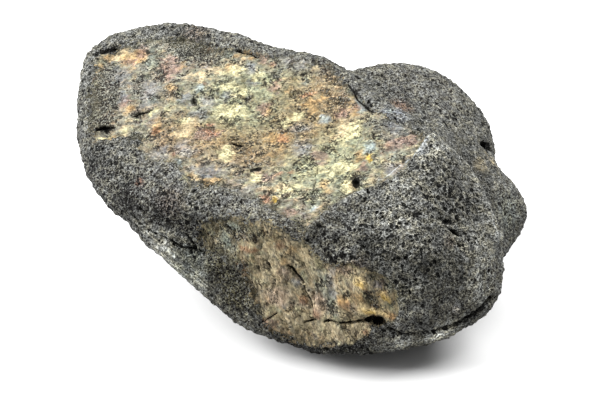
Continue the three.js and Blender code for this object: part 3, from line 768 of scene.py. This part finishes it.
def dressed_skin():
    """The stone's finished mesh, in metres, with what its material needs to know at each vertex."""
    mesh = even_skin()
    places = vectors(mesh.vertices, "co")
    normals = vectors(mesh.vertices, "normal")
    coarse, fine, chips = Noise(11), Noise(23), Noise(37)

    ragged = 0.15 + 0.5 * coarse.waves(places / 2.2) + 0.3 * fine.waves(places / 0.9)
    top = top_depth(places) + ragged
    front = front_depth(places) + ragged
    edge = np.maximum(top, front)
    worn = 1 + 1.8 * step(places[:, 0], 12, 2)  # the breaks' edges are crisp only towards the boss
    broken = step(edge, -0.2, 0.3)
    on_front = step(front - top, -1, 1)

    pitted = pitted_share(places)
    pits = pit_depth(places, chips, 1.1, 0.05, 0.5, 0.2 + 0.6 * np.clip(pitted, -0.3, 1))
    reach, route = SCORED
    scored = np.exp(-((distance_to_route(places, route) / reach) ** 4))
    over = streaked(places, (1, 0.1, 0.15), 0.65)
    down = streaked(places, FRONT_RUN, 0.45)
    flow = np.where((on_front > 0.5)[:, None], down, over)
    crack, half, depth = line_field(places, normals, CRACKS)
    groove = depth * (1 - step(np.abs(crack), 0.3 * half, half + 0.22)) * (half > 0.02)
    height = crust_relief(places, pits, coarse, fine) * (1 - broken)
    height += stone_relief(places, flow, coarse, chips) * broken - groove
    pits = pits * (1 - broken) - broken
    for centre, size in HOLES:
        bend = 0.8 * fine.octaves(places / 1.6, 3)
        hole = (1 + bend - np.linalg.norm((places - centre) / size, axis=1)) * min(size)
        height -= 1.1 * np.clip(hole, 0, None)
        pits = np.maximum(pits, hole)

    # Pale lines of painted highlight along the top break's rim and the boss's edge.
    rim_highlight, rim_highlight_half, _ = line_field(places, normals, [(half, 0, route) for half, route in RIM_HIGHLIGHTS])
    drift = (coarse.drift(places * (0.6, 1.1, 1.1), 4) + 0.5 * fine.drift(places * 1.1, 2))[:, :2]
    numbers = {
        "edge": np.clip(edge / worn, -3, 3), "front": on_front, "pitted": pitted, "scored": scored,
        "pit": np.clip(pits, -1, 1), "crack": crack, "crack_half": half, "rim_highlight": rim_highlight,
        "rim_highlight_half": rim_highlight_half,
    }
    stone_colour = np.where(
        (on_front > 0.5)[:, None],
        painted(places[:, [0, 2]], mottled(FRONT_BASE, flow, fine), FRONT_COATS, 0.6 * drift),
        painted(places[:, :2], mottled(TOP_BASE, flow, fine), TOP_COATS, drift),
    )
    store(mesh, numbers, {"shaded_crust_colour": crust_colours(places), "stone_colour": stone_colour})

    place_vertices(mesh, (places + height[:, None] * normals) * METRES)
    mesh = light_enough(mesh)
    finished = vectors(mesh.vertices, "co")
    finished[:, 2] = np.maximum(finished[:, 2], 0)  # nothing reaches below the floor
    place_vertices(mesh, finished)
    return mesh


# ---------------------------------------------------------------- materials


class Nodes:
    """Builds a material's nodes. An input is another node's output, or a plain value."""

    def __init__(self, name):
        self.material = bpy.data.materials.new(name)
        self.material.use_nodes = True
        self.tree = self.material.node_tree
        self.shader = self.tree.nodes["Principled BSDF"]

    def join(self, socket, value):
        if isinstance(value, bpy.types.NodeSocket):
            self.tree.links.new(value, socket)
        else:
            socket.default_value = value

    def add(self, kind, inputs, **settings):
        """A new node with its settings, and its inputs by name or number."""
        node = self.tree.nodes.new(kind)
        for name, value in settings.items():
            setattr(node, name, value)
        for key, value in inputs.items():
            self.join(node.inputs[key], value)
        return node

    def math(self, operation, first, second=0.0):
        return self.add("ShaderNodeMath", {0: first, 1: second}, operation=operation).outputs[0]

    def times(self, *values):
        result = values[0]
        for value in values[1:]:
            result = self.math("MULTIPLY", result, value)
        return result

    def plus(self, *values):
        result = values[0]
        for value in values[1:]:
            result = self.math("ADD", result, value)
        return result

    def vector(self, operation, first, second):
        """Two vectors joined by an operation, or one scaled by a number."""
        key = "Scale" if operation == "SCALE" else 1
        return self.add("ShaderNodeVectorMath", {0: first, key: second}, operation=operation).outputs[0]

    def attribute(self, name, output="Fac"):
        return self.add("ShaderNodeAttribute", {}, attribute_name=name).outputs[output]

    def noise(self, places, size, detail=2.0):
        """Noise about 0.5, with grains of one size in millimetres."""
        inputs = {"Vector": places, "Scale": 1 / size, "Detail": detail, "Roughness": 0.6}
        return self.add("ShaderNodeTexNoise", inputs).outputs["Fac"]

    def centred(self, places, size, height, detail=2.0):
        """Noise about 0, as high as given."""
        return self.times(self.math("SUBTRACT", self.noise(places, size, detail), 0.5), height)

    def cells(self, places, size):
        """The distance to the nearest scattered spot, in millimetres, and that spot's own shade."""
        node = self.add("ShaderNodeTexVoronoi", {"Vector": places, "Scale": 1 / size})
        shade = self.add("ShaderNodeSeparateColor", {0: node.outputs["Color"]}).outputs[0]
        return self.times(node.outputs["Distance"], size), shade

    def step(self, value, low, high, start=0.0, end=1.0):
        inputs = {"Value": value, "From Min": low, "From Max": high, "To Min": start, "To Max": end}
        return self.add("ShaderNodeMapRange", inputs, interpolation_type="SMOOTHSTEP").outputs["Result"]

    def mix(self, share, first, second):
        first, second = ((*c, 1) if isinstance(c, tuple) else c for c in (first, second))
        node = self.add("ShaderNodeMix", {}, data_type="RGBA")
        for key, value in ((0, share), (6, first), (7, second)):
            self.join(node.inputs[key], value)
        return node.outputs[2]

    def blend(self, share, first, second):
        node = self.add("ShaderNodeMix", {}, data_type="FLOAT")
        for key, value in ((0, share), (2, first), (3, second)):
            self.join(node.inputs[key], value)
        return node.outputs[0]


def line_mask(n, places, name):
    """1 on the lines that the skin carries under this name, with ragged edges."""
    side = n.plus(n.attribute(name), n.centred(places, 0.8, 0.5))
    half = n.attribute(name + "_half")
    width = n.times(half, n.step(n.noise(places, 1.2), 0.3, 0.7, 0.5, 1.5))
    inside = n.step(n.math("SUBTRACT", n.math("ABSOLUTE", side), width), 0.06, -0.06)
    return n.times(inside, n.step(half, 0.02, 0.07))


def squeezed(n, places, along, stretch):
    """Places squeezed along one direction, so that noise laid over them streaks that way."""
    along = Vector(along).normalized()
    run = n.add("ShaderNodeVectorMath", {0: places, 1: along}, operation="DOT_PRODUCT").outputs["Value"]
    back = n.vector("SCALE", along, n.times(run, stretch - 1))
    return n.vector("ADD", places, back)


def dots(n, places, spacing, largest, amount):
    """How far inside scattered, ragged dots a place is. A smaller amount: fewer and smaller dots."""
    away, shade = n.cells(places, spacing)
    size = n.times(n.plus(shade, amount, -1.0), largest)
    return n.plus(size, n.times(away, -1.0), n.centred(places, 0.45, 0.42))


def crust_finish(n, places):
    """The crust's colour, with painted shade and highlights, and its fine relief in millimetres.

    Here and in the broken stone, patterns of one kind use shifted places, so that they don't line up.
    """
    pitted = n.attribute("pitted")
    away, _ = n.cells(places, 0.6)
    froth = n.step(n.plus(away, n.centred(places, 0.35, 0.35)), 0.08, 0.42)
    grain = n.noise(places, 0.3, 1.0)
    # The froth is darker in its hollows and paler on its ridges: painted shade and painted highlight.
    light = n.times(n.plus(0.4, n.times(froth, 1.1)), n.step(grain, 0.36, 0.64, 0.25, 1.75))
    scored = n.attribute("scored")
    own = n.attribute("shaded_crust_colour", "Color")
    green = n.add("ShaderNodeSeparateColor", {0: own}).outputs[1]
    thick = n.step(pitted, -1.0, 0.0, 0.3, 1.0)
    dark = n.step(green, 0.036, 0.016, 0.0, 0.75)
    depth = n.plus(thick, dark, n.times(scored, -0.6))
    light = n.math("MAXIMUM", n.plus(n.times(n.plus(light, -1.0), depth), 1.0), 0.08)
    light = n.times(light, n.step(n.noise(places, 2.4, 3.0), 0.38, 0.62, 0.65, 1.35))
    streaks = n.step(n.noise(squeezed(n, places, SCORES_RUN, 0.06), 0.4, 3.0), 0.4, 0.6, 0.4, 1.7)
    light = n.times(light, n.blend(scored, 1.0, streaks))
    large = dots(n, n.vector("ADD", places, (40, 0, 0)), 1.15, 0.78, n.plus(0.2, n.times(pitted, 0.66)))
    small = dots(n, n.vector("ADD", places, (0, 40, 0)), 0.7, 0.5, n.plus(0.52, n.times(pitted, 0.2)))
    # Paler rings round the large pits: painted highlights on their rims.
    light = n.times(light, n.step(large, -0.3, -0.05, 1.0, 1.45))
    colour = n.vector("SCALE", own, light)
    tint = n.mix(n.step(n.noise(places, 1.6, 3.0), 0.4, 0.6), (0.97, 0.99, 1.03), (1.06, 1.02, 0.9))
    colour = n.vector("MULTIPLY", colour, tint)
    # Pores go nearly black: painted shade inside them.
    pores = n.step(n.math("MAXIMUM", large, small), -0.03, 0.03)
    colour = n.mix(n.times(pores, 0.97), colour, PORE_SHADE)
    # Pale specks on the crust: painted glints.
    specks = n.step(n.noise(n.vector("ADD", places, (0, 0, 40)), 0.33, 1.0), 0.59, 0.66)
    colour = n.mix(n.times(specks, n.blend(pores, 0.5, 0.0)), colour, SPECK_GLINT)
    return colour, n.plus(n.times(froth, 0.25), n.times(grain, 0.25), n.times(pores, -0.35))


def broken_finish(n, places):
    """The broken stone's colour, and its fine relief in millimetres."""
    over = n.add("ShaderNodeMapping", {"Vector": places, "Scale": (0.8, 1, 1)}).outputs[0]
    down = squeezed(n, places, FRONT_RUN, 0.65)
    flow = n.add("ShaderNodeMix", {}, data_type="VECTOR")
    for key, value in ((0, n.step(n.attribute("front"), 0.45, 0.55)), (4, over), (5, down)):
        n.join(flow.inputs[key], value)
    flow = flow.outputs[1]
    colour = n.attribute("stone_colour", "Color")
    red, green, _ = n.add("ShaderNodeSeparateColor", {0: colour}).outputs
    warm = n.plus(red, n.times(green, -1.25))
    clean = n.times(n.step(green, 0.1, 0.19, 1.0, 0.3), n.step(warm, 0.0, 0.03, 1.0, 0.6))
    dark = n.step(green, 0.085, 0.045)
    rough = n.times(n.step(n.noise(places, 2.6, 3.0), 0.48, 0.58), n.step(warm, 0.0, 0.03, 1.0, 0.5))
    grit = n.noise(flow, 0.42, 1.5)
    lumps = n.noise(flow, 1.2, 4.0)
    for shift, size, low, share, tint in (
        (20, 1.2, 0.54, 0.3, (1.15, 0.88, 0.66)),
        (60, 0.8, 0.52, 0.55, (0.6, 0.68, 0.8)),
        (90, 0.7, 0.54, 0.5, (1.45, 1.45, 1.3)),
    ):
        patch = n.step(n.noise(n.vector("ADD", flow, (shift, 0, 0)), size, 4.0), low, low + 0.05)
        colour = n.mix(n.times(patch, share, clean), colour, n.vector("MULTIPLY", colour, tint))
    light = n.times(
        n.blend(rough, n.step(grit, 0.38, 0.62, 0.75, 1.25), n.step(grit, 0.38, 0.62, 0.45, 1.55)),
        n.blend(dark, 1.0, n.step(n.noise(places, 0.3, 1.0), 0.38, 0.62, 0.2, 1.8)),
        n.step(lumps, 0.4, 0.6, 0.82, 1.18),
    )
    colour = n.vector("SCALE", colour, light)
    long = n.step(n.math("ABSOLUTE", n.centred(flow, 2.2, 1.0, 3.0)), 0.022, 0.008)
    short = n.step(n.math("ABSOLUTE", n.centred(flow, 0.9, 1.0, 2.0)), 0.045, 0.02)
    slits = n.math("MAXIMUM", long, n.times(short, n.step(lumps, 0.52, 0.46)))
    amount = n.plus(0.25, n.times(rough, 0.4), n.times(dark, 0.65))
    specks = n.step(dots(n, n.vector("ADD", flow, (0, 30, 0)), 0.65, 0.42, amount), -0.04, 0.04)
    gaps = n.times(n.math("MAXIMUM", n.times(slits, rough), specks), clean)
    colour = n.mix(n.times(gaps, 0.9), colour, SLIT)
    glints = n.step(n.noise(n.vector("ADD", places, (0, 0, 70)), 0.33, 1.0), 0.57, 0.64)
    colour = n.mix(n.times(glints, dark, 0.5), colour, GLINT)
    return colour, n.plus(n.times(grit, 0.25), n.times(lumps, 0.6), n.times(gaps, -0.25))


def stone_material():
    """The crust and the broken stone, parted along the breaks' ragged edges, with painted shade in
    holes, cracks and just inside the breaks' edges, and painted highlights along the rims.
    """
    n = Nodes("stone")
    own = n.add("ShaderNodeTexCoord", {}).outputs["Object"]
    places = n.vector("SCALE", own, 1 / METRES)
    crust, crust_height = crust_finish(n, places)
    stone, stone_height = broken_finish(n, places)
    edge = n.plus(n.attribute("edge"), n.centred(places, 1.2, 1.6), n.centred(places, 0.5, 1.6))
    bare = n.step(edge, -0.12, 0.12)
    # Darker just inside the breaks' edges: painted shade under the crust's step.
    stone = n.mix(n.times(n.step(edge, 0.7, 0.0), 0.6), stone, COLOURS["moss"])
    colour = n.mix(bare, crust, stone)
    # Pale lines along the rim and the boss's edge: painted highlights.
    colour = n.mix(n.times(line_mask(n, places, "rim_highlight"), 0.55), colour, RIM_HIGHLIGHT)
    pits = n.step(n.plus(n.attribute("pit"), n.centred(places, 0.5, 0.6)), -0.05, 0.08)
    holes = n.math("MAXIMUM", pits, line_mask(n, places, "crack"))
    # Nearly black inside holes and cracks: painted shade.
    colour = n.mix(n.times(holes, 0.95), colour, HOLE_SHADE)
    n.join(n.shader.inputs["Base Color"], colour)
    n.join(n.shader.inputs["Roughness"], n.blend(bare, 0.6, 0.8))
    n.shader.inputs["Specular IOR Level"].default_value = 0.06
    height = n.plus(n.blend(bare, crust_height, stone_height), n.times(holes, -0.4))
    bump = n.add("ShaderNodeBump", {"Height": height, "Strength": 1.0, "Distance": METRES})
    n.join(n.shader.inputs["Normal"], bump.outputs[0])
    return n.material


def floor_material():
    """Plain grey round the stone, and paler from 0.2 to 0.8 m away, where less light falls."""
    n = Nodes("floor")
    place = n.add("ShaderNodeNewGeometry", {}).outputs["Position"]
    away = n.add("ShaderNodeVectorMath", {0: place}, operation="LENGTH").outputs["Value"]
    n.join(n.shader.inputs["Base Color"], n.step(away, 0.2, 0.8, 0.33, 0.85))
    n.shader.inputs["Roughness"].default_value = 0.9
    return n.material


# ---------------------------------------------------------------- piece, floor, light and camera

meteorite = bpy.data.objects.new("meteorite", dressed_skin())
bpy.context.scene.collection.objects.link(meteorite)
meteorite.data.shade_smooth()
meteorite.data.materials.clear()
meteorite.data.materials.append(stone_material())
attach(meteorite, "root")
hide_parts("stone")


def floor():
    half = 3.0
    corners = [(-half, -half, 0), (half, -half, 0), (half, half, 0), (-half, half, 0)]
    mesh = bpy.data.meshes.new("floor")
    mesh.from_pydata(corners, [], [(0, 1, 2, 3)])
    mesh.materials.append(floor_material())
    ground = bpy.data.objects.new("floor", mesh)
    bpy.context.scene.collection.objects.link(ground)


def point_at(thing, place, aim):
    """Put a light or a camera at a place, turned towards what it is aimed at."""
    thing.location = place
    thing.rotation_euler = (Vector(aim) - Vector(place)).to_track_quat("-Z", "Y").to_euler()


def soft_light(name, power, place):
    """A square light 0.4 m wide, aimed at the spot where the stone rests."""
    data = bpy.data.lights.new(name, "AREA")
    data.energy, data.size = power, 0.4
    light = bpy.data.objects.new(name, data)
    bpy.context.scene.collection.objects.link(light)
    point_at(light, place, (0, 0, 0))


def studio():
    """Even white surroundings, and two soft lights that fill each other's shadows."""
    world = bpy.data.worlds.new("studio")
    world.use_nodes = True
    background = world.node_tree.nodes["Background"]
    background.inputs["Color"].default_value = (1, 1, 1, 1)
    background.inputs["Strength"].default_value = 0.6
    bpy.context.scene.world = world
    bpy.context.scene.view_settings.view_transform = "Standard"
    soft_light("left", 17.2, (-0.44, 0.04, 0.35))
    soft_light("right", 11.5, (0.3, 0.16, 0.46))


def camera():
    """A view from the front, 35 degrees down, from 0.34 m away."""
    elevation = math.radians(35)
    away = 0.34
    aim = (0.00129, -0.00458, 0.0225)
    place = (aim[0], aim[1] - away * math.cos(elevation), aim[2] + away * math.sin(elevation))
    data = bpy.data.cameras.new("camera")
    data.lens, data.sensor_width, data.sensor_fit = 100, 36, "HORIZONTAL"
    data.clip_start = 0.01
    view = bpy.data.objects.new("camera", data)
    bpy.context.scene.collection.objects.link(view)
    point_at(view, place, aim)
    bpy.context.scene.camera = view


floor()
studio()
camera()
